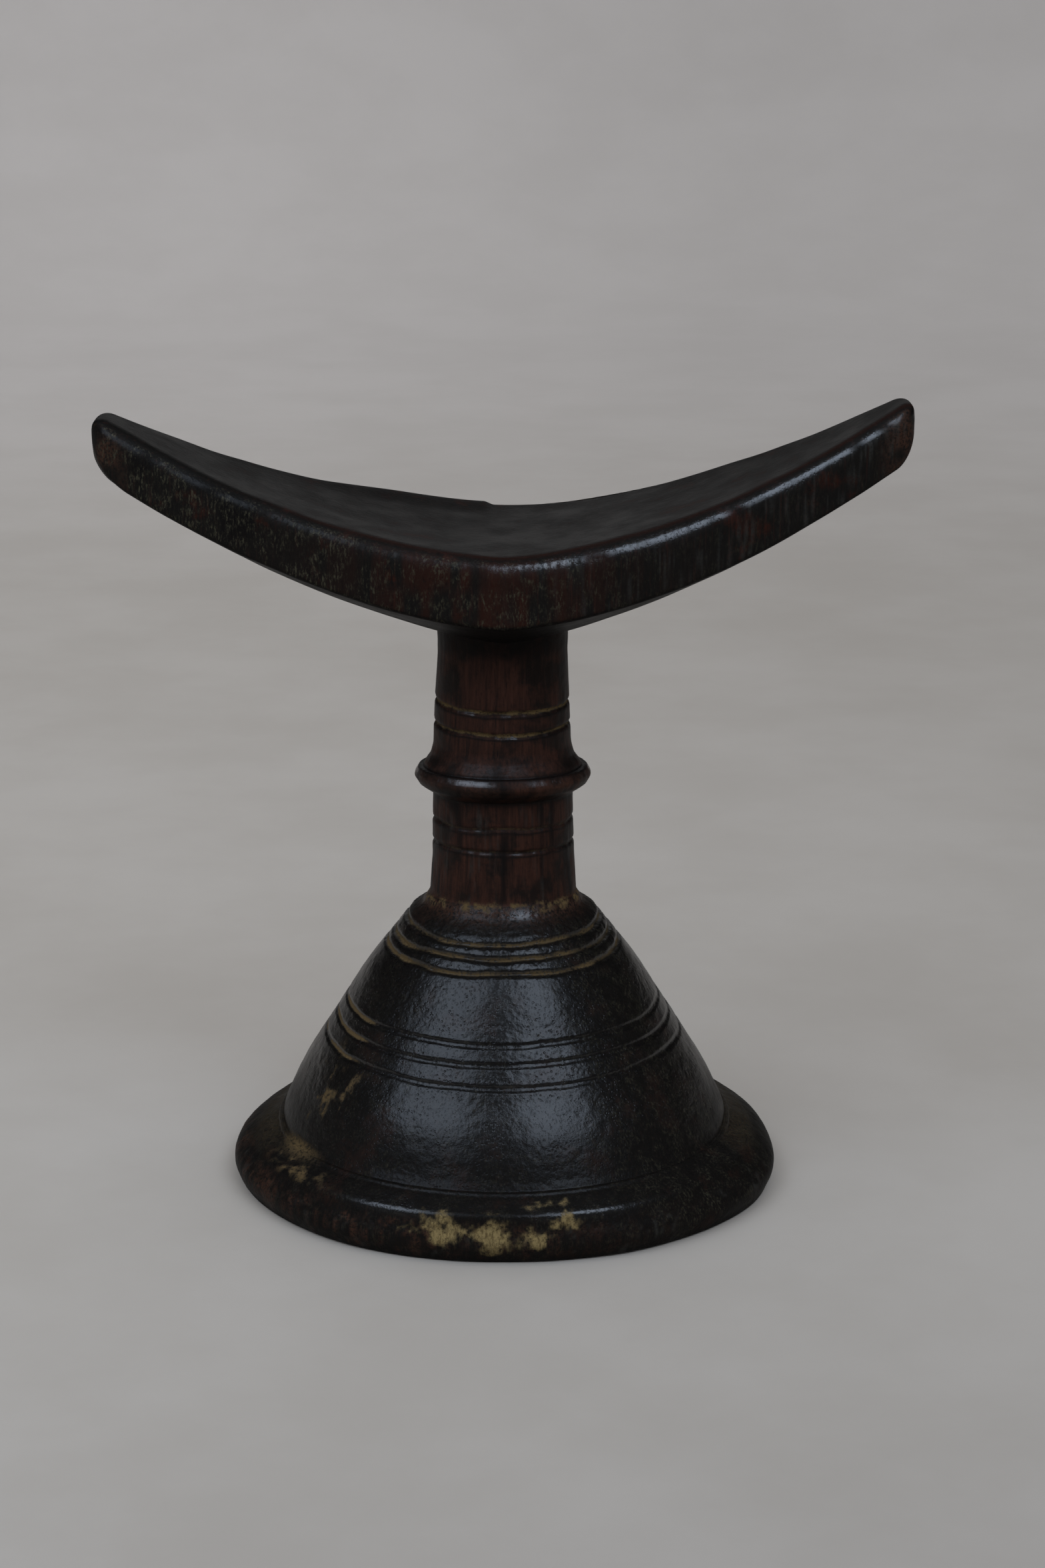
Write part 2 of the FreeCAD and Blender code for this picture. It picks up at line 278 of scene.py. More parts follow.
def turned_outline():
    """The outline of the column and foot as (radius, level) points, from under the foot up to the saddle."""
    under = walk(rounded_path([
        (2.0, DISH_DEPTH, 0),
        (DISH_RADIUS * 0.6, DISH_DEPTH * 0.72, 30),
        (DISH_RADIUS, 0.3, 6),
        (STAND_INNER_RADIUS, 0.0, 1),
    ]), COARSE_STEP)
    outside = walk(rounded_path([
        (STAND_INNER_RADIUS, 0.0, 0),
        (FOOT_RADIUS - 1.8, 0.0, 1.6),
        (FOOT_RADIUS + 0.2, 4.6, 6.0),
        (FOOT_RADIUS - 4.0, RIM_EDGE, 2.8),
        (CONE_LOW_RADIUS + 0.9, RIM_TOP - 0.2, 0.4),
        (CONE_LOW_RADIUS + 0.3, RIM_TOP + 0.5, 0.3),
        (CONE_LOW_RADIUS - 0.5, RIM_TOP + 0.2, 0.3),
        (CONE_LOW_RADIUS - 1.5, RIM_TOP + 2.0, 0.8),
        (45.1, 24.0, 60.0),
        (CONE_TOP_RADIUS + 3.8, SHOULDER_LOW - 4.6, 60.0),
        (20.9, 60.8, 1.8),
        (18.0, 62.9, 2.4),
        (COLUMN_FOOT_RADIUS + 0.3, 65.3, 2.4),
        (15.8, 74.0, 60.0),
        (15.5, COLLAR_LOW - 0.2, 0.4),
        (18.4, 90.0, 1.5),
        (COLLAR_RADIUS + 0.7, 92.0, 1.5),
        (18.4, 94.1, 0.7),
        (17.5, 93.8, 0.3),
        (17.2, 94.7, 0.5),
        (15.8, 96.6, 3.0),
        (15.1, 99.0, 6.0),
        (14.5, 112.0, 60.0),
        (COLUMN_TOP_RADIUS, 120.0, 20.0),
        (COLUMN_TOP_RADIUS + 0.1, SADDLE_LOW + 3.0, 0),
    ]), FINE_STEP)
    return np.concatenate([under, outside[1:]])


def around(angle, size, seed):
    """Noise from -1 to 1 round a circle, with lumps about size radians long."""
    circle = np.stack([np.cos(angle), np.sin(angle), np.zeros_like(angle)], axis=-1)
    return noise(circle, size, seed)


def from_front(angle):
    """The angle from the front, -Y, positive towards +X, from -pi to pi."""
    return (angle + math.pi / 2 + math.pi) % (2 * math.pi) - math.pi


def cut_rings(level, angle, slope):
    """The depth that the incised rings take from the surface, and what lies in them.

    The dust lies on a ring's upper side, its lower side gleams, and dark lines along its edges are partly
    dirt and partly painted shade. slope is the length along the surface of one millimetre of height."""
    depth, dust, gleam, grime_and_shade = (np.zeros_like(level) for _ in range(4))
    left_end = smooth(-from_front(angle), 0.85, 1.05) * smooth(level, 60, 50)
    for number, (height, deep, reach, bottom, dip, holds) in enumerate(RINGS):
        wander = WANDER * around(angle, 0.5, number) + QUICK_WANDER * around(angle, 0.12, number + 20)
        centre = height + wander - dip * np.cos(from_front(angle))
        above = (level - centre) * slope
        lip = np.clip((np.abs(above) / reach - bottom) / (1 - bottom), 0, 1)
        uneven = 1 + UNEVEN_DEPTH * around(angle, 0.35, number + 40)
        depth = np.maximum(depth, deep * uneven * (1 - lip) ** 2)
        patchy = 0.6 + 0.4 * smooth(around(angle, 0.14, number + 60), -0.6, 0.5)
        side = 1.1 * left_end * smooth(around(angle, 0.15, number + 80), -0.7, 0.0)
        line = 0.46 + 0.1 * around(angle, 0.1, number + 90)
        lying = bump_at(above, 0.12 * reach, line * reach)
        dust = np.maximum(dust, np.minimum(holds * patchy + side, 1) * lying)
        glint = smooth(around(angle, 0.09, number + 100), 0.0, 0.6)
        gleam = np.maximum(gleam, bump_at(above, -0.4 * reach, 0.3) * glint * holds)
        # Dark lines along the ring's edges: painted shade at the lips, with some dirt.
        edge = bump_at(np.abs(above), 0.8 * reach, 0.3) if bottom > 0 else bump_at(above, -0.95 * reach, 0.3)
        grime_and_shade = np.maximum(grime_and_shade, edge)
    return depth, dust, gleam, grime_and_shade


def hand_carving(base, level, radius, ring_depth):
    """How far the surface stands out from the plain turned shape: lumps, tool marks, dents and rings."""
    outer = smooth(radius, 30, 58)
    shoulder = bump_at(level, 0.5 * (SHOULDER_LOW + SHOULDER_TOP) + 1.5, 4.5)
    on_foot = smooth(level, 68, 62) * smooth(level, 0.5, 3)
    lumps = (LUMP + LUMP_MORE_AT_RIM * outer) * noise(base, 26, 1) + SMALL_LUMP * noise(base, 9, 2)
    chatter = (CHATTER + CHATTER_MORE_AT_SHOULDER * shoulder) * noise(base, 1.8, 3)
    grain = GRAIN_RIDGE * noise(base, (1.1, 1.1, 12), 5) * smooth(level, 60, 70)
    dents = (DENT + DENT_MORE_AT_SHOULDER * shoulder) * pits(base, 1.3, 6)
    dents = dents * on_foot * smooth(noise(base, 12, 7), -0.6, 0.4)
    return (lumps + chatter + grain - ring_depth - dents) * smooth(level, 0.0, 0.8)


def rim_wear(level, turn):
    """How far the rim has worn inwards: its wall mostly in front, its upper edge at the sides and back."""
    wall = sum(deep * bump_at(turn, where, reach) for deep, where, reach in RIM_WEAR)
    sides_and_back = smooth(np.cos(turn), 0.5, 0.0)
    return wall * smooth(level, 12.5, 5) + RIM_BACK_WEAR * sides_and_back * bump_at(level, 10.5, 2.5)


def turned_dust(base, level, turn, in_rings):
    """Old pale dust in the rings and the hollow round the column, and smeared on the foot's left."""
    mottled = 0.6 * noise(base, 1.8, 9) + 0.5 * noise(base, 0.7, 21)
    streaky = 0.7 * noise(base, (2.2, 2.2, 5), 10) + 0.5 * noise(base, (0.9, 0.9, 2), 14)
    fillet = 0.75 * bump_at(level, SHOULDER_TOP - 0.4, 1.4) * smooth(mottled, -0.6, 0.8)
    smear = 0.85 * bump_at(turn, -1.02, 0.27) * bump_at(level, 25, 10) * smooth(streaky, -0.3, 0.9)
    junction = 0.55 * bump_at(turn, -1.1, 0.22) * bump_at(level, RIM_TOP + 0.4, 1.6)
    ledge = 0.6 * bump_at(turn, -0.98, 0.26) * bump_at(level, 11.0, 1.8) * smooth(streaky, -0.7, 0.7)
    haze = 0.3 * smooth(np.abs(turn), 0.9, 1.4) * bump_at(level, RIM_TOP - 1, 4.0)
    return np.maximum.reduce([in_rings, fillet, smear, junction, ledge, haze])


def turned_gilt(base, level, turn):
    """Old gold-coloured marks on the front of the rim, with ragged edges."""
    marks = np.maximum.reduce([
        strength * bump_at(turn, side, wide) * bump_at(level, up, tall)
        for strength, side, wide, up, tall in GILT_MARKS
    ])
    ragged = marks + 0.30 * noise(base, 2.6, 12) + 0.25 * noise(base, (0.8, 0.8, 1.6), 13)
    return smooth(ragged, 0.22, 1.1) * (level < 12)


def turned_rub(base, level, turn):
    """Places rubbed down to reddish wood: the collar's round, the rim's left wall and the foot's top."""
    upright = noise(base, (0.9, 0.9, 5), 15) + 0.6 * noise(base, (4, 4, 7), 16)
    rim_wall = 0.75 * smooth(level, 10.0, 7.0) * smooth(turn, 1.0, -0.5) * smooth(upright, -0.3, 0.9)
    collar = 0.5 * bump_at(level, COLLAR_ROUND, 1.6) * smooth(noise(base, (3, 3, 2), 19), -0.7, 0.3)
    return np.maximum(collar + rim_wall, 0.75 * bump_at(level, SHOULDER_TOP - 1.2, 1.5))


def turned_grime_and_shade(base, level, ring_depth, ring_edges):
    """Dark blotches down the column, and painted shade in the rings and along their edges, under the saddle
    and the collar, in the collar's crease and where the foot stands.
    """
    blotches = noise(base, (1.6, 1.6, 10), 23) + 0.7 * noise(base, (5, 5, 12), 24)
    on_column = smooth(level, 64, 67) * (1 - 0.8 * smooth(level, 90, 98))
    # Painted shade fills the ring bottoms, the ring edges, the band under the saddle, the collar's underside
    # and crease, and the foot's base; only the blotches down the column are the wood's own dark patches.
    return np.maximum.reduce([
        ring_depth / 0.5,
        ring_edges,
        smooth(blotches, -0.1, 0.9) * on_column,
        0.8 * smooth(level, SADDLE_LOW - 3.5, SADDLE_LOW - 0.5),
        bump_at(level, COLLAR_LOW - 0.2, 0.8),
        bump_at(level, COLLAR_CREASE, 0.45),
        smooth(level, 2.2, 0.4),
    ])


def turned_polish(level):
    """The foot's even sheen, weaker low on the cone, on the rim's wall and on the pitted shoulder edge."""
    on_foot = smooth(level, 66, 62) * (0.2 + 0.8 * smooth(level, 9.5, 11.5))
    pitted_band = 0.85 * bump_at(level, SHOULDER_EDGE, 1.5)
    low_cone = 0.65 * smooth(level, 27, 17)
    return on_foot * (1 - pitted_band) * (1 - low_cone)


def turned_gloss(base, level, turn, ring_gleam):
    """Edges that shine with handling: the collar's round, the front edges of rim and foot, and the rings."""
    rubbed = smooth(noise(base, (3.2, 3.2, 4), 20), -0.5, 0.1)
    rim_front = np.maximum(bump_at(turn, -0.44, 0.17), bump_at(turn, 0.33, 0.19))
    return np.maximum.reduce([
        0.9 * bump_at(level, COLLAR_ROUND_TOP, 0.6) * rubbed,
        0.12 * bump_at(level, COLLAR_HOLLOW, 1.2) * rubbed,
        0.8 * bump_at(level, RIM_EDGE, 1.0) * rim_front,
        0.7 * bump_at(level, SHOULDER_TOP - 1.6, 0.7) * bump_at(turn, 0.22, 0.2),
        0.8 * ring_gleam,
    ])


def turned_sheen_streaks(base, level):
    """Pale upright lines of painted sheen on the column under the collar and on the rim's wall."""
    streak = noise(base, (0.45, 0.45, 5), 17) + 0.5 * noise(base, (1.1, 1.1, 9), 22)
    strength = 0.6 * smooth(streak, 0.1, 1.0) * smooth(noise(base, (3, 3, 9), 18), -0.3, 0.5)
    return strength * (smooth(level, 62, 68) * smooth(level, 90, 84) + smooth(level, 9.5, 7))


def turned_grid(outline):
    """The whole column and foot as a grid of points, with its layers."""
    along = np.gradient(outline, axis=0)
    along /= np.linalg.norm(along, axis=1)[:, None]
    normal_out, normal_up = along[:, 1:], -along[:, :1]
    columns = np.linspace(0, 2 * math.pi, TURNED_COLUMNS, endpoint=False)
    angle, radius = np.meshgrid(columns, outline[:, 0])
    angle, level = np.meshgrid(columns, outline[:, 1])
    turn = from_front(angle)
    ride = np.interp(level, RIDE_LEVELS, RIDE_UP) * np.cos(turn)
    lean = LEAN * smooth(level, 10, 20)
    base = np.stack([radius * np.cos(angle) + lean, radius * np.sin(angle), level + ride], axis=-1)

    slope = 1 / np.maximum(np.abs(normal_out), 0.35)
    ring_depth, ring_dust, ring_gleam, ring_edges = cut_rings(level, angle, slope)
    rise = hand_carving(base, level, radius, ring_depth)
    shift_out = normal_out * rise - rim_wear(level, turn) * (radius > DISH_RADIUS)
    points = base + np.stack([
        shift_out * np.cos(angle), shift_out * np.sin(angle), normal_up * rise,
    ], axis=-1)
    points[..., 2] = np.maximum(points[..., 2], 0)
    layers = {
        "dust": turned_dust(base, level, turn, ring_dust),
        "gilt": turned_gilt(base, level, turn),
        "rub": turned_rub(base, level, turn),
        "grime_and_shade": turned_grime_and_shade(base, level, ring_depth, ring_edges),
        "polish": turned_polish(level),
        "gloss": turned_gloss(base, level, turn, ring_gleam),
        "fleck": smooth(level, 64, 60) * (0.35 + 0.4 * smooth(turn, 0.3, 0.9)),
        "sheen_streaks": turned_sheen_streaks(base, level),
    }
    return points, {name: np.clip(values, 0, 1) for name, values in layers.items()}


def row_at(outline, level):
    """The row of the outline's outside that is nearest to a level."""
    outside = np.arange(len(outline)) > np.argmax(outline[:, 0])
    return int(np.argmin(np.where(outside, np.abs(outline[:, 1] - level), np.inf)))


def turned_pieces():
    """One closed piece for each turned zone, cut from one continuous surface so that they meet exactly."""
    outline = turned_outline()
    points, layers = turned_grid(outline)
    normals = surface_normals(points)
    meetings = (RIM_TOP, SHOULDER_LOW, SHOULDER_TOP, COLLAR_LOW, COLLAR_TOP)
    cuts = [0] + [row_at(outline, level) for level in meetings] + [len(outline) - 1]
    names = ["foot_rim", "foot_cone", "foot_shoulder", "lower_column", "collar", "upper_column"]
    pieces = {}
    for name, start, stop in zip(names, cuts, cuts[1:]):
        rows = slice(start, stop + 1)
        part = {layer: values[rows] for layer, values in layers.items()}
        pieces[name] = closed_mesh(name + "_carved", points[rows], normals[rows], part)
    return pieces


# ---------------------------------------------------------------- the saddle

REST_LOW, REST_HIGH = (np.array(corner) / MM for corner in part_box("head_rest"))
HALF_LENGTH = (REST_HIGH[0] - REST_LOW[0]) / 2
HALF_DEPTH = (REST_HIGH[1] - REST_LOW[1]) / 2
TIP_HALF_DEPTH = 6.0
SEAT_LEVEL = 146.4
RIGHT_RISE = REST_HIGH[2] - SEAT_LEVEL + 0.6
LEFT_RISE = RIGHT_RISE - 3.4
FACE_MID = 15.0
LEFT_FACE_TIP, RIGHT_FACE_TIP = 12.2, 13.0
LEFT_CORNER_WEAR = 1.8  # how much lower the left tip's edge face has worn at its very end
KEEL_MID, KEEL_TIP = SEAT_LEVEL - REST_LOW[2], 12.8
KEEL_SHARE = 0.3  # flat of the keel as a share of the saddle's depth
PLAN_POWER, CREST_POWER = 1.5, 1.75
TIP_ROUND = 4.0
FACE_TAPER = 1.35  # how much faster than the rest the edge face narrows where a tip rounds over
LEAST_KEEL = 0.05  # the keel stays at least this far below the edge face

# How far wear and hand work move the saddle's surface, in millimetres.
HOLLOW_WEAR = 0.8  # along the middle of the top, where the neck lies
FAR_EDGE_WEAR = 0.8  # at the far edge of the top, right of the middle
FAR_LIP = 0.7  # a ridge along the far edge, left of the middle
SADDLE_LUMP, SMALL_SADDLE_LUMP = 0.32, 0.12
SCRAPE, SADDLE_GRAIN_RIDGE, SADDLE_DENT = 0.015, 0.05, 0.10

SADDLE_ROWS = 560
END_ROWS = 14
CORNER_POINTS = 10
EDGE_POINTS = [56, 24, 24, 14, 24, 24]  # along each edge of a cross-section, most across its top
MOST_OF_EDGE = 0.4  # a corner's rounding takes no more than this share of an edge


def saddle_stations():
    """Places along X, closer together where the tips round over."""
    bend = np.sin(np.linspace(0, math.pi / 2, END_ROWS + 1))
    right_end = HALF_LENGTH - TIP_ROUND + TIP_ROUND * bend
    middle = np.linspace(-right_end[0], right_end[0], SADDLE_ROWS)
    return np.concatenate([-right_end[:0:-1], middle, right_end[1:]])


def half_depth_at(share):
    """Half the saddle's depth, at a share of the way from the middle to a tip."""
    return HALF_DEPTH + (TIP_HALF_DEPTH - HALF_DEPTH) * share**PLAN_POWER


def section_outline(half_depth, top, face, keel, inset):
    """One cross-section of the saddle, anticlockwise seen from +X, as a fixed number of (across, up) points.

    inset draws it in all round, as far as a tip's rounding has taken it."""
    wide = half_depth - inset
    keel_half = KEEL_SHARE * wide
    upper = top - inset
    lower = top - face + FACE_TAPER * inset
    bottom = min(top - keel + inset, lower - LEAST_KEEL)
    corners = np.array([
        (wide, upper),
        (-wide, upper),
        (-wide, lower),
        (-keel_half, bottom),
        (keel_half, bottom),
        (wide, lower),
    ])
    roundings = [2.4, 5.0, 1.1, 6.0, 6.0, 2.0]  # the front's upper arris is worn rounder than the back's
    edges = np.roll(corners, -1, axis=0) - corners
    lengths = np.linalg.norm(edges, axis=1)
    edges /= lengths[:, None]
    reaches = [
        min(rounding, MOST_OF_EDGE * lengths[number - 1], MOST_OF_EDGE * lengths[number])
        for number, rounding in enumerate(roundings)
    ]
    points = []
    for number, here in enumerate(corners):
        after = (number + 1) % len(corners)
        back, ahead, reach = -edges[number - 1], edges[number], reaches[number]
        for share in np.linspace(0, 1, CORNER_POINTS, endpoint=False):
            points.append(here + back * reach * (1 - share) ** 2 + ahead * reach * share**2)
        start = here + ahead * reach
        finish = corners[after] - ahead * reaches[after]
        for share in np.linspace(0, 1, EDGE_POINTS[number], endpoint=False):
            points.append(start + (finish - start) * share)
    return np.array(points)


def section_at(x):
    """The saddle's cross-section at a place along X."""
    share = min(abs(x) / HALF_LENGTH, 1)
    rise = LEFT_RISE if x < 0 else RIGHT_RISE
    face_tip = LEFT_FACE_TIP if x < 0 else RIGHT_FACE_TIP
    top = SEAT_LEVEL + rise * share**CREST_POWER
    face = FACE_MID + (face_tip - FACE_MID) * share
    face -= LEFT_CORNER_WEAR * smooth(-x, HALF_LENGTH - 8, HALF_LENGTH)
    keel = KEEL_MID + (KEEL_TIP - KEEL_MID) * share
    over = max(0, TIP_ROUND - (HALF_LENGTH - abs(x)))
    inset = TIP_ROUND - math.sqrt(max(TIP_ROUND**2 - over**2, 0))
    return section_outline(half_depth_at(share), top, face, keel, inset)


def saddle_grid():
    """The plain saddle, before wear and carving, as a grid with one row of points for each station."""
    stations = saddle_stations()
    sections = np.array([section_at(x) for x in stations])
    along = np.broadcast_to(stations[:, None, None], sections.shape[:2] + (1,))
    return np.concatenate([along, sections], axis=-1)


def saddle_faces(normal):
    """How far each point belongs to the top face, and to the upright edge faces, from 0 to 1."""
    return smooth(normal[..., 2], 0.6, 0.85), smooth(np.abs(normal[..., 1]), 0.5, 0.8)


def saddle_carving(base, normal):
    """How far the surface stands out from the plain saddle: wear, lumps, grain, dents and the far lip."""
    top_face, side_face = saddle_faces(normal)
    x = base[..., 0]
    share = np.abs(x) / HALF_LENGTH
    backwards = base[..., 1] / half_depth_at(np.minimum(share, 1))
    across = np.clip(np.abs(backwards), 0, 1)
    worn_hollow = HOLLOW_WEAR * (1 - across**2) * top_face * smooth(share, 0.95, 0.5)
    worn_back = FAR_EDGE_WEAR * bump_at(x, 22, 15) * smooth(backwards, 0.3, 0.9) * top_face
    back_lip = FAR_LIP * smooth(backwards, 0.6, 0.95) * top_face * smooth(x, -2, -4.5) * smooth(x, -48, -22)
    lumps = SADDLE_LUMP * noise(base, 24, 31) + SMALL_SADDLE_LUMP * noise(base, 8, 32)
    scraped = SCRAPE * noise(base, (40, 3.5, 40), 33) * top_face
    grain = SADDLE_GRAIN_RIDGE * noise(base, (1.0, 1.0, 6), 34) * side_face
    dents = SADDLE_DENT * pits(base, (1.2, 1.2, 2.4), 35) * side_face
    dents = dents * smooth(noise(base, 10, 36), -0.5, 0.3)
    rise = lumps + scraped + grain - dents - worn_hollow - worn_back + back_lip
    inside = smooth(HALF_LENGTH - np.abs(x), 0.0, 3.0)
    return rise * (0.3 + 0.7 * inside)


def saddle_layers(base, normal):
    """Where the saddle is flecked, rubbed, polished, glossy, red, grimy and dusty, where painted sheen lies
    in upright lines and where painted shade darkens the faces that look down.
    """
    top_face, side_face = saddle_faces(normal)
    x, up = base[..., 0], normal[..., 2]
    lean = np.degrees(np.arctan2(-normal[..., 1], up))
    left_face = smooth(x, -22, -42) * side_face
    middle_face = bump_at(x, -4, 26) * side_face
    tip = smooth(np.abs(x), HALF_LENGTH - 10, HALF_LENGTH - 1)
    arris = smooth(lean, 20, 42) * smooth(lean, 88, 60)
    patchy = smooth(noise(base, (5, 2, 2), 40), -0.9, 0.1)
    red_middle = 0.9 * middle_face * smooth(noise(base, (2, 2, 9), 42), -0.6, 0.3)
    red_arris = 0.8 * bump_at(lean, 16, 9) * smooth(x, -60, -30)
    grimy_left = left_face * smooth(noise(base, (7, 7, 9), 41), -0.1, 0.5)
    # Painted shade: the saddle's faces that look down are darkened.
    underside_shade = smooth(up, -0.2, -0.5)
    streak = noise(base, (0.5, 0.5, 5), 43) + 0.5 * noise(base, (1.6, 1.6, 8), 44)
    # Painted sheen: grey upright lines on the edge face, towards the right.
    sheen_streaks_right = (0.5 + 0.3 * smooth(x, 50, 80)) * smooth(x, -10, 30) * side_face
    layers = {
        "fleck": left_face + 0.8 * middle_face + 0.2 * side_face,
        "rub": 0.9 * tip * smooth(noise(base, 4, 38), -0.6, 0.4) * (1 - top_face),
        "polish": 0.48 * top_face * (1 - 0.2 * smooth(x, 10, 50)),
        "gloss": arris * patchy * (0.15 + 0.85 * smooth(x, -12, 6)),
        "red": np.maximum(red_middle, red_arris),
        "grime_and_shade": np.maximum(grimy_left, underside_shade),
        "sheen_streaks": sheen_streaks_right * smooth(streak, 0.0, 1.0),
        "dust": 0.5 * tip * smooth(noise(base, 2.0, 39), 0.2, 0.7) * bump_at(lean, 50, 30),
    }
    return {name: np.clip(values, 0, 1) for name, values in layers.items()}


def saddle_piece():
    """The whole saddle as one closed piece."""
    base = saddle_grid()
    normal = surface_normals(base)
    points = base + normal * saddle_carving(base, normal)[..., None]
    return closed_mesh("head_rest_carved", points, surface_normals(points), saddle_layers(base, normal))


# ---------------------------------------------------------------- materials

# Colours, as linear red, green and blue.
DUST = (0.078, 0.054, 0.025)
GILT = (0.185, 0.140, 0.064)
TARNISH = (0.080, 0.058, 0.026)
WORN = (0.046, 0.021, 0.013)
# Nearly black, for pores, pinholes and dark blotches, and also for the painted shade in hollows, under
# overhangs and on faces that look down.
GRIME_AND_SHADE = (0.0042, 0.0036, 0.0034)
FLECK = (0.042, 0.039, 0.025)
# A painted sheen: the grey of upright grain catching the light.
SHEEN = (0.030, 0.030, 0.027)
BLACK = (0.0, 0.0, 0.0)

# The thin glossy coat of old wax and hand grease. A high index keeps its haze low at grazing angles.
COAT_IOR = 2.0
COAT_ROUGHNESS = 0.18
EDGE_COAT = 0.5  # how much coat the gloss layer's worn edges have
EDGE_SHINE = 0.25  # and how much they add to the wood's own gloss
POLISH_SMOOTHS = 0.20  # how much polish takes off the roughness
DUST_ROUGHENS = 0.35  # how much dust and gilding add to it
GRIME_AND_SHADE_COVER = 0.85
PINHOLE_COVER = 0.7
BUMP_DEPTH = 0.09  # millimetres


def node(tree, kind, inputs=None, **settings):
    """A new node. Each input is a value, or a socket to link from."""
    made = tree.nodes.new(kind)
    for name, value in settings.items():
        setattr(made, name, value)
    for name, value in (inputs or {}).items():
        if isinstance(value, bpy.types.NodeSocket):
            tree.links.new(value, made.inputs[name])
        else:
            made.inputs[name].default_value = value
    return made


def maths(tree, operation, first, second=0.0):
    """One operation on two values, each a number or a socket."""
    return node(tree, "ShaderNodeMath", {0: first, 1: second}, operation=operation).outputs[0]


def times(tree, first, second):
    return maths(tree, "MULTIPLY", first, second)


def plus(tree, first, second):
    return maths(tree, "ADD", first, second)


def minus(tree, first, second):
    return maths(tree, "SUBTRACT", first, second)


def ramp(tree, value, low, high, to_low=0.0, to_high=1.0):
    """value rescaled from low..high to to_low..to_high, smoothly, and held at the ends."""
    made = node(tree, "ShaderNodeMapRange", {
        "Value": value, "From Min": low, "From Max": high, "To Min": to_low, "To Max": to_high,
    }, interpolation_type="SMOOTHSTEP")
    return made.outputs["Result"]


def mix(tree, share, first, second):
    """A colour between first and second."""
    made = node(tree, "ShaderNodeMix", {"Factor": share}, data_type="RGBA")
    for socket, value in ((made.inputs[6], first), (made.inputs[7], second)):
        if isinstance(value, bpy.types.NodeSocket):
            tree.links.new(value, socket)
        else:
            socket.default_value = (*value, 1.0)
    return made.outputs[2]


def layer(tree, name):
    """A named layer of the mesh, from 0 to 1."""
    return node(tree, "ShaderNodeAttribute", attribute_name=name).outputs["Fac"]


def texture(tree, place, per_mm, detail=4.0, roughness=0.55, stretch=(1.0, 1.0, 1.0)):
    """Noise from 0 to 1 with per_mm lumps in a millimetre. stretch slows it down along each axis."""
    scaled = node(tree, "ShaderNodeMapping", {
        "Vector": place, "Scale": tuple(per_mm / MM / slow for slow in stretch),
    })
    made = node(tree, "ShaderNodeTexNoise", {
        "Vector": scaled.outputs[0], "Scale": 1.0, "Detail": detail, "Roughness": roughness,
    })
    return made.outputs["Fac"]


def wood_patterns(tree, pitted):
    """The patterns that a wood's colour, gloss and bump share."""
    place = node(tree, "ShaderNodeTexCoord").outputs["Object"]
    patches = texture(tree, place, 0.09, detail=5.0, roughness=0.65)
    cells = node(tree, "ShaderNodeTexVoronoi", {"Vector": place, "Scale": 1.1 / MM}).outputs["Distance"]
    pinholes = times(tree, ramp(tree, cells, 0.12, 0.34, 1.0, 0.0), ramp(tree, patches, 0.4, 0.6))
    pores = texture(tree, place, 2.6, detail=3.0, roughness=0.6, stretch=(1, 1, 7))
    return {
        "patches": patches,
        "grain": texture(tree, place, 1.3, detail=6.0, roughness=0.65, stretch=(1, 1, 14)),
        "speck": texture(tree, place, 1.5, detail=4.0, roughness=0.7),
        "fleck_grain": texture(tree, place, 2.2, detail=5.0, roughness=0.75, stretch=(1, 1, 3.2)),
        "hammered": texture(tree, place, 0.85, detail=2.0, roughness=0.5),
        "clusters": texture(tree, place, 0.28, detail=3.0, roughness=0.6),
        "dark_pores": ramp(tree, pores, 0.56, 0.70, 0.0, 0.5),
        "pinholes": times(tree, pinholes, pitted),
    }


def bare_wood(tree, patterns, dark, brown, brown_share):
    """The colour under the dirt: dark patina with browner patches, a lighter grain and rubbed places."""
    low, high = 0.60 - 0.3 * brown_share, 0.74 - 0.3 * brown_share
    redness = ramp(tree, patterns["patches"], low, high)
    redness = times(tree, redness, ramp(tree, patterns["grain"], 0.25, 0.6))
    redness = maths(tree, "MAXIMUM", redness, times(tree, layer(tree, "red"), 0.85))
    colour = mix(tree, redness, dark, brown)
    pale_brown = tuple(2.0 * part + 0.003 for part in brown)
    colour = mix(tree, ramp(tree, patterns["grain"], 0.52, 0.75, 0.0, 0.3), colour, pale_brown)
    worn = times(tree, layer(tree, "rub"), ramp(tree, patterns["speck"], 0.35, 0.6))
    return mix(tree, worn, colour, WORN)


def soiled(tree, patterns, colour, flecks):
    """The colour with black pores, pinholes, dark blotches and painted shade, and the pale flecks and lines
    of painted sheen over them.
    """
    colour = mix(tree, patterns["dark_pores"], colour, GRIME_AND_SHADE)
    # Painted shade in hollows, under overhangs and on downward faces darkens the colour here, along with
    # dark blotches.
    colour = mix(tree, times(tree, layer(tree, "grime_and_shade"), GRIME_AND_SHADE_COVER), colour, GRIME_AND_SHADE)
    colour = mix(tree, times(tree, patterns["pinholes"], PINHOLE_COVER), colour, GRIME_AND_SHADE)
    spotted = times(tree, ramp(tree, patterns["fleck_grain"], 0.48, 0.66), layer(tree, "fleck"))
    spotted = times(tree, spotted, ramp(tree, patterns["clusters"], 0.42, 0.6, 0.1, 1.0))
    colour = mix(tree, times(tree, spotted, flecks), colour, FLECK)
    # Painted sheen: grey upright lines laid over the colour.
    sheen_streaked = times(tree, layer(tree, "sheen_streaks"), ramp(tree, patterns["speck"], 0.3, 0.6, 0.3, 0.9))
    return mix(tree, sheen_streaked, colour, SHEEN)


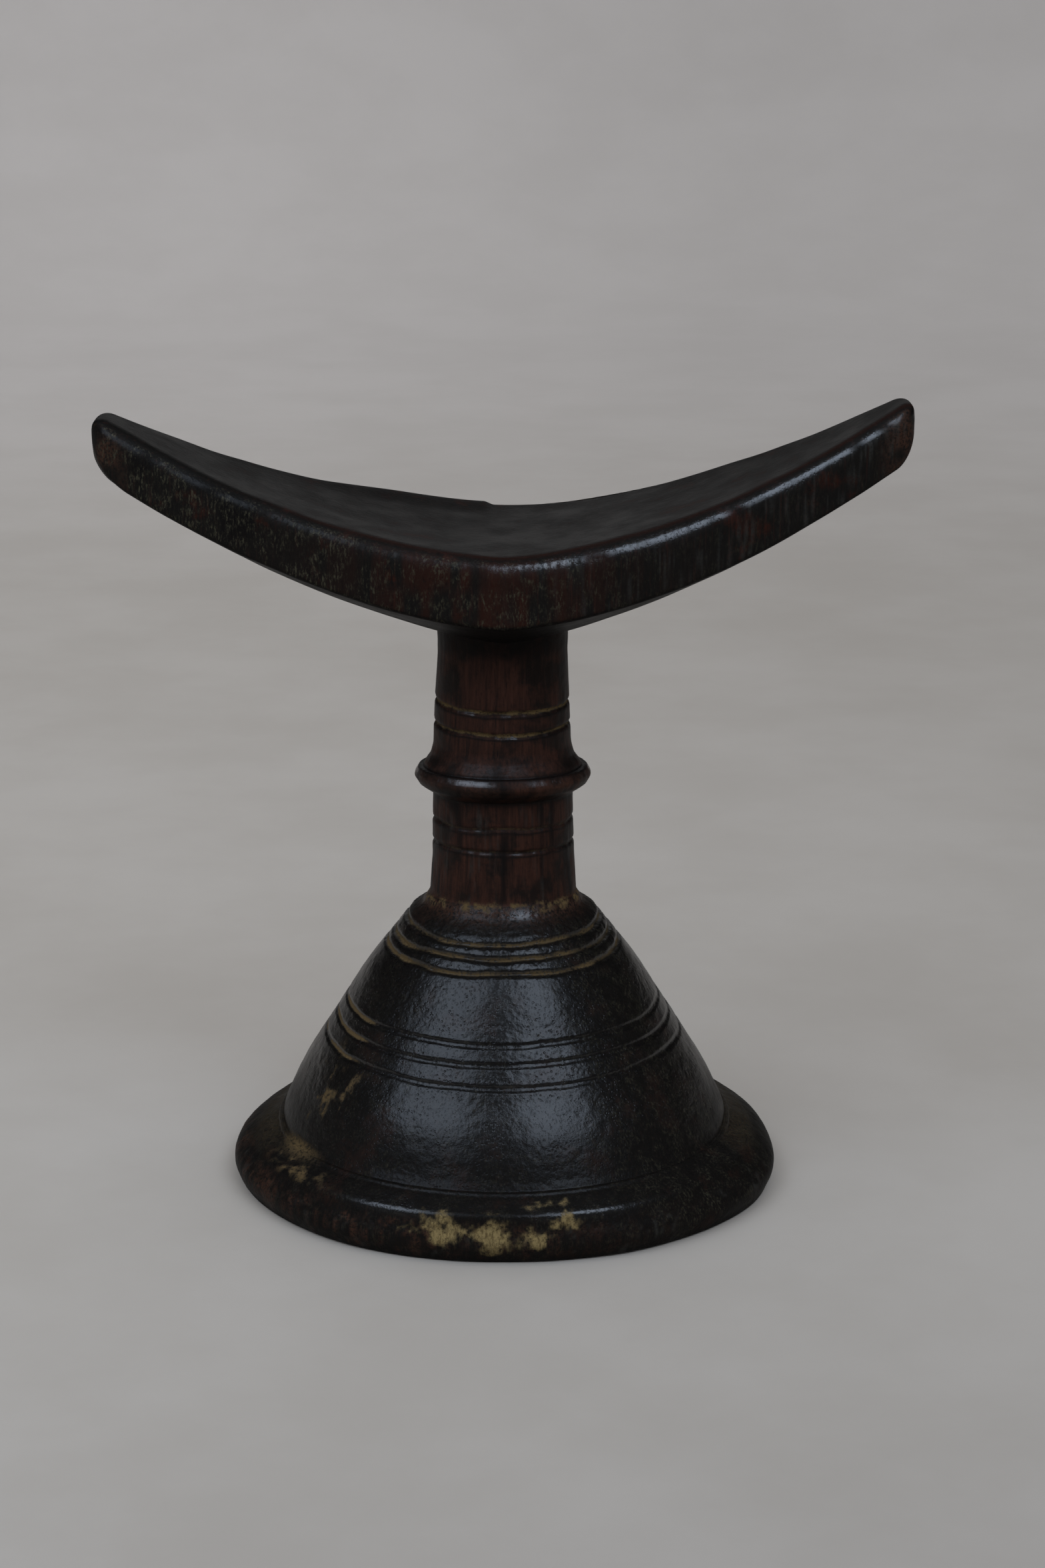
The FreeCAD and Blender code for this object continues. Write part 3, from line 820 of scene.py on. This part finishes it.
def dusted_and_gilded(tree, patterns, colour):
    """The colour with old dust and gold-coloured marks over it, and how far they cover the wood."""
    speck = patterns["speck"]
    dusty = times(tree, layer(tree, "dust"), ramp(tree, speck, 0.3, 0.55, 0.4, 1.2))
    dusty = ramp(tree, dusty, 0.15, 0.8)
    colour = mix(tree, dusty, colour, DUST)
    gilded = times(tree, layer(tree, "gilt"), ramp(tree, speck, 0.3, 0.55, 0.55, 1.15))
    gilded = ramp(tree, gilded, 0.1, 0.9)
    gold = mix(tree, ramp(tree, patterns["fleck_grain"], 0.35, 0.6), TARNISH, GILT)
    return mix(tree, gilded, colour, gold), maths(tree, "MAXIMUM", dusty, gilded)


def wood_bump(tree, patterns, pitted):
    """The fine relief: grain, hammered-looking patina, pores and pinholes."""
    height = times(tree, patterns["grain"], 0.25)
    height = plus(tree, height, times(tree, patterns["hammered"], 0.3 + 0.7 * pitted))
    height = plus(tree, height, times(tree, patterns["speck"], 0.3))
    height = minus(tree, height, times(tree, patterns["dark_pores"], 0.4))
    height = minus(tree, height, times(tree, patterns["pinholes"], 0.6))
    bump = node(tree, "ShaderNodeBump", {"Height": height, "Strength": 1.0, "Distance": BUMP_DEPTH * MM})
    return bump.outputs[0]


def wood(name, dark, brown, brown_share, roughness, gloss, pitted, flecks, satin, coat):
    """Old hand-rubbed wood: upright grain and pores under a dark patina, dust in the hollows.

    dark and brown are its two colours, and brown_share, pitted and flecks say how brown, pitted and
    flecked it is, from 0 to 1. roughness and gloss are those of the bare sides. satin and coat are what
    polish adds to them."""
    material = bpy.data.materials.new(name)
    material.use_nodes = True
    tree = material.node_tree
    patterns = wood_patterns(tree, pitted)
    colour = bare_wood(tree, patterns, dark, brown, brown_share)
    colour = soiled(tree, patterns, colour, flecks)
    colour, covered = dusted_and_gilded(tree, patterns, colour)
    normal = wood_bump(tree, patterns, pitted)
    polish, gloss_layer = layer(tree, "polish"), layer(tree, "gloss")

    rough = ramp(tree, patterns["patches"], 0.3, 0.7, roughness - 0.05, roughness + 0.07)
    rough = minus(tree, rough, times(tree, plus(tree, polish, gloss_layer), POLISH_SMOOTHS))
    rough = plus(tree, rough, times(tree, covered, DUST_ROUGHENS))
    shine = plus(tree, times(tree, polish, satin), gloss)
    shine = plus(tree, shine, times(tree, gloss_layer, EDGE_SHINE))
    shine = times(tree, shine, ramp(tree, covered, 0.0, 1.0, 1.0, 0.3))
    coated = maths(tree, "MAXIMUM", times(tree, gloss_layer, EDGE_COAT), times(tree, polish, coat))
    coated = times(tree, coated, minus(tree, 1.0, covered))

    shader = tree.nodes["Principled BSDF"]
    shader.inputs["Coat Roughness"].default_value = COAT_ROUGHNESS
    shader.inputs["Coat IOR"].default_value = COAT_IOR
    links = {
        "Base Color": colour,
        "Roughness": rough,
        "Specular IOR Level": shine,
        "Normal": normal,
        "Coat Weight": coated,
        "Coat Normal": normal,
    }
    for socket, value in links.items():
        tree.links.new(value, shader.inputs[socket])
    return material


def saddle_wood():
    """Nearly black, with reddish brown showing through and pale flecks on its edge face."""
    return wood(
        "saddle_wood",
        dark=(0.0066, 0.0059, 0.0051),
        brown=(0.023, 0.0068, 0.0040),
        brown_share=0.1,
        roughness=0.52,
        gloss=0.05,
        pitted=0.5,
        flecks=1.0,
        satin=0.35,
        coat=0.0,
    )


def column_wood():
    """Brown, where hands have kept the patina thin."""
    return wood(
        "column_wood",
        dark=(0.0095, 0.0062, 0.0050),
        brown=(0.031, 0.0125, 0.0080),
        brown_share=0.65,
        roughness=0.50,
        gloss=0.07,
        pitted=0.3,
        flecks=0.4,
        satin=0.0,
        coat=0.0,
    )


def foot_wood():
    """Black, pitted and polished."""
    return wood(
        "foot_wood",
        dark=(0.0056, 0.0049, 0.0043),
        brown=(0.0125, 0.0066, 0.0049),
        brown_share=0.25,
        roughness=0.52,
        gloss=0.03,
        pitted=1.0,
        flecks=0.8,
        satin=0.14,
        coat=0.19,
    )


# ---------------------------------------------------------------- studio, in metres and degrees

CAMERA_DISTANCE = 0.70
CAMERA_HEIGHT = 0.29
CAMERA_PITCH = 16.0
CAMERA_YAW = 0.335
LENS = 75.9
SENSOR_WIDTH = 36.0

LIGHT_TARGET = (0, 0, 0.09)
WINDOW_DISTANCE = 1.35
WINDOW_POWER = 6.2
COOL = (0.70, 0.82, 1.0)
NEUTRAL = (1.0, 0.99, 0.98)

# The sweep: how far its floor runs, the radius that it bends up with, and its wall above that.
FLOOR_REACH, FLOOR_BEND, WALL_RISE = 1.25, 0.7, 1.0
NEAR_FLOOR = (0.343, 0.321, 0.289)
FAR_FLOOR = (0.455, 0.437, 0.417)
CLOUDS = (0.8, 0.79, 0.78)
CLOUD_STRENGTH = 0.06
SIDE_SHADE, SIDE_REACH = 0.13, 0.22  # painted shade: how much darker the floor is to the right, and over what distance
FRONT_SHADE, FRONT_REACH = 0.12, 0.25


def make_camera():
    """The camera, in front and a little above the saddle."""
    data = bpy.data.cameras.new("camera")
    data.lens = LENS
    data.sensor_width = SENSOR_WIDTH
    data.sensor_fit = "AUTO"
    data.dof.use_dof = False
    camera = bpy.data.objects.new("camera", data)
    camera.location = (0, -CAMERA_DISTANCE, CAMERA_HEIGHT)
    camera.rotation_euler = (math.radians(90 - CAMERA_PITCH), 0, math.radians(-CAMERA_YAW))
    bpy.context.scene.collection.objects.link(camera)
    bpy.context.scene.camera = camera


def make_light(name, azimuth, elevation, distance, size, power, colour):
    """A soft rectangular light. Azimuth is from the front, -Y, positive towards +X."""
    data = bpy.data.lights.new(name, "AREA")
    data.shape = "RECTANGLE"
    data.size, data.size_y = size
    data.energy = power
    data.color = colour
    light = bpy.data.objects.new(name, data)
    turn, lift = math.radians(azimuth), math.radians(elevation)
    towards = np.array([math.sin(turn) * math.cos(lift), -math.cos(turn) * math.cos(lift), math.sin(lift)])
    light.location = np.array(LIGHT_TARGET) + towards * distance
    light.rotation_euler = (math.pi / 2 - lift, 0, turn)
    light.visible_camera = False
    bpy.context.scene.collection.objects.link(light)
    return light


def make_lights():
    """Two windows in front, one each side, and a pale wall behind that only the gloss of the wood sees."""
    make_light("left_window", -47, 42, WINDOW_DISTANCE, (0.95, 0.85), WINDOW_POWER, COOL)
    make_light("right_window", 32, 44, WINDOW_DISTANCE, (0.76, 0.85), WINDOW_POWER, COOL)
    wall = make_light("back_wall_gleam", 180, 10, 1.6, (1.1, 0.7), 0.62, NEUTRAL)
    wall.visible_diffuse = False


def floor_shape():
    """The outline of the sweep, as (radius, height) points from its middle out and up."""
    angle = np.linspace(0, math.pi / 2, 25)[1:]
    flat = np.linspace(0.1, FLOOR_REACH, 12)
    return np.concatenate([
        [[0.02, 0.0]],
        np.stack([flat, np.zeros_like(flat)], axis=-1),
        np.stack([FLOOR_REACH + FLOOR_BEND * np.sin(angle), FLOOR_BEND * (1 - np.cos(angle))], axis=-1),
        [[FLOOR_REACH + FLOOR_BEND, WALL_RISE]],
    ])


def make_studio():
    """A pale floor that sweeps up into a wall all round, far enough out to see the object from any side."""
    outline = floor_shape()
    around_it = np.linspace(0, 2 * math.pi, 96, endpoint=False)
    points = [(r * math.cos(a), r * math.sin(a), z) for r, z in outline for a in around_it]
    faces = grid_faces(len(outline), len(around_it)).tolist()
    faces.append(tuple(range(len(around_it))))
    mesh = bpy.data.meshes.new("floor")
    mesh.from_pydata(points, [], faces)
    mesh.polygons.foreach_set("use_smooth", [True] * len(mesh.polygons))
    floor = bpy.data.objects.new("floor", mesh)
    bpy.context.scene.collection.objects.link(floor)
    floor.data.materials.append(floor_material())


def floor_material():
    """Pale matt paint, faintly clouded and lighter towards the wall, with painted shade that darkens it to
    the right and in front.

    Glossy rays see the wall as black, so that only the lights show in the wood's gloss."""
    material = bpy.data.materials.new("floor_paint")
    material.use_nodes = True
    tree = material.node_tree
    place = node(tree, "ShaderNodeTexCoord").outputs["Object"]
    across, along, height = node(tree, "ShaderNodeSeparateXYZ", {0: place}).outputs
    reach = node(tree, "ShaderNodeVectorMath", {0: place}, operation="LENGTH").outputs["Value"]
    cloud = texture(tree, place, 0.012, detail=6.0, roughness=0.6)
    colour = mix(tree, ramp(tree, reach, 0.5, 1.3), NEAR_FLOOR, FAR_FLOOR)
    colour = mix(tree, ramp(tree, cloud, 0.3, 0.7, 0.0, CLOUD_STRENGTH), colour, CLOUDS)
    # Painted shade: the floor darkens to the right, more so in front, and darkens again in front.
    to_the_right = ramp(tree, across, -SIDE_REACH, SIDE_REACH, 0.0, SIDE_SHADE)
    more_in_front = ramp(tree, along, -FRONT_REACH, 0.0, 1.4, 1.0)
    in_front = ramp(tree, along, -FRONT_REACH, 0.0, FRONT_SHADE, 0.0)
    shade = plus(tree, times(tree, to_the_right, more_in_front), in_front)
    colour = mix(tree, shade, colour, BLACK)
    in_the_gloss = node(tree, "ShaderNodeLightPath").outputs["Is Glossy Ray"]
    wall_in_gloss = times(tree, in_the_gloss, ramp(tree, height, 0.0, 0.05))
    colour = mix(tree, wall_in_gloss, colour, BLACK)
    shader = tree.nodes["Principled BSDF"]
    tree.links.new(colour, shader.inputs["Base Color"])
    shader.inputs["Roughness"].default_value = 0.85
    shader.inputs["Specular IOR Level"].default_value = 0.2
    return material


def make_world():
    """Even, nearly white light from all round, which the gloss doesn't see."""
    world = bpy.data.worlds.new("studio_air")
    world.use_nodes = True
    background = world.node_tree.nodes["Background"]
    background.inputs["Color"].default_value = (0.99, 0.98, 1.0, 1)
    background.inputs["Strength"].default_value = 1.0
    world.cycles_visibility.glossy = False
    bpy.context.scene.world = world


# ---------------------------------------------------------------- assembly


def finish_piece(piece, cad_node, material):
    """Gives a piece its material and its place in the CAD model."""
    piece.data.materials.append(material)
    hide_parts(cad_node)
    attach(piece, "root")


def main():
    bpy.context.scene.view_settings.view_transform = "Standard"
    make_camera()
    make_world()
    make_lights()
    make_studio()
    saddle, column, foot = saddle_wood(), column_wood(), foot_wood()
    finish_piece(saddle_piece(), "head_rest", saddle)
    for cad_node, piece in turned_pieces().items():
        if cad_node.startswith("foot"):
            finish_piece(piece, cad_node, foot)
        else:
            finish_piece(piece, cad_node, column)


main()
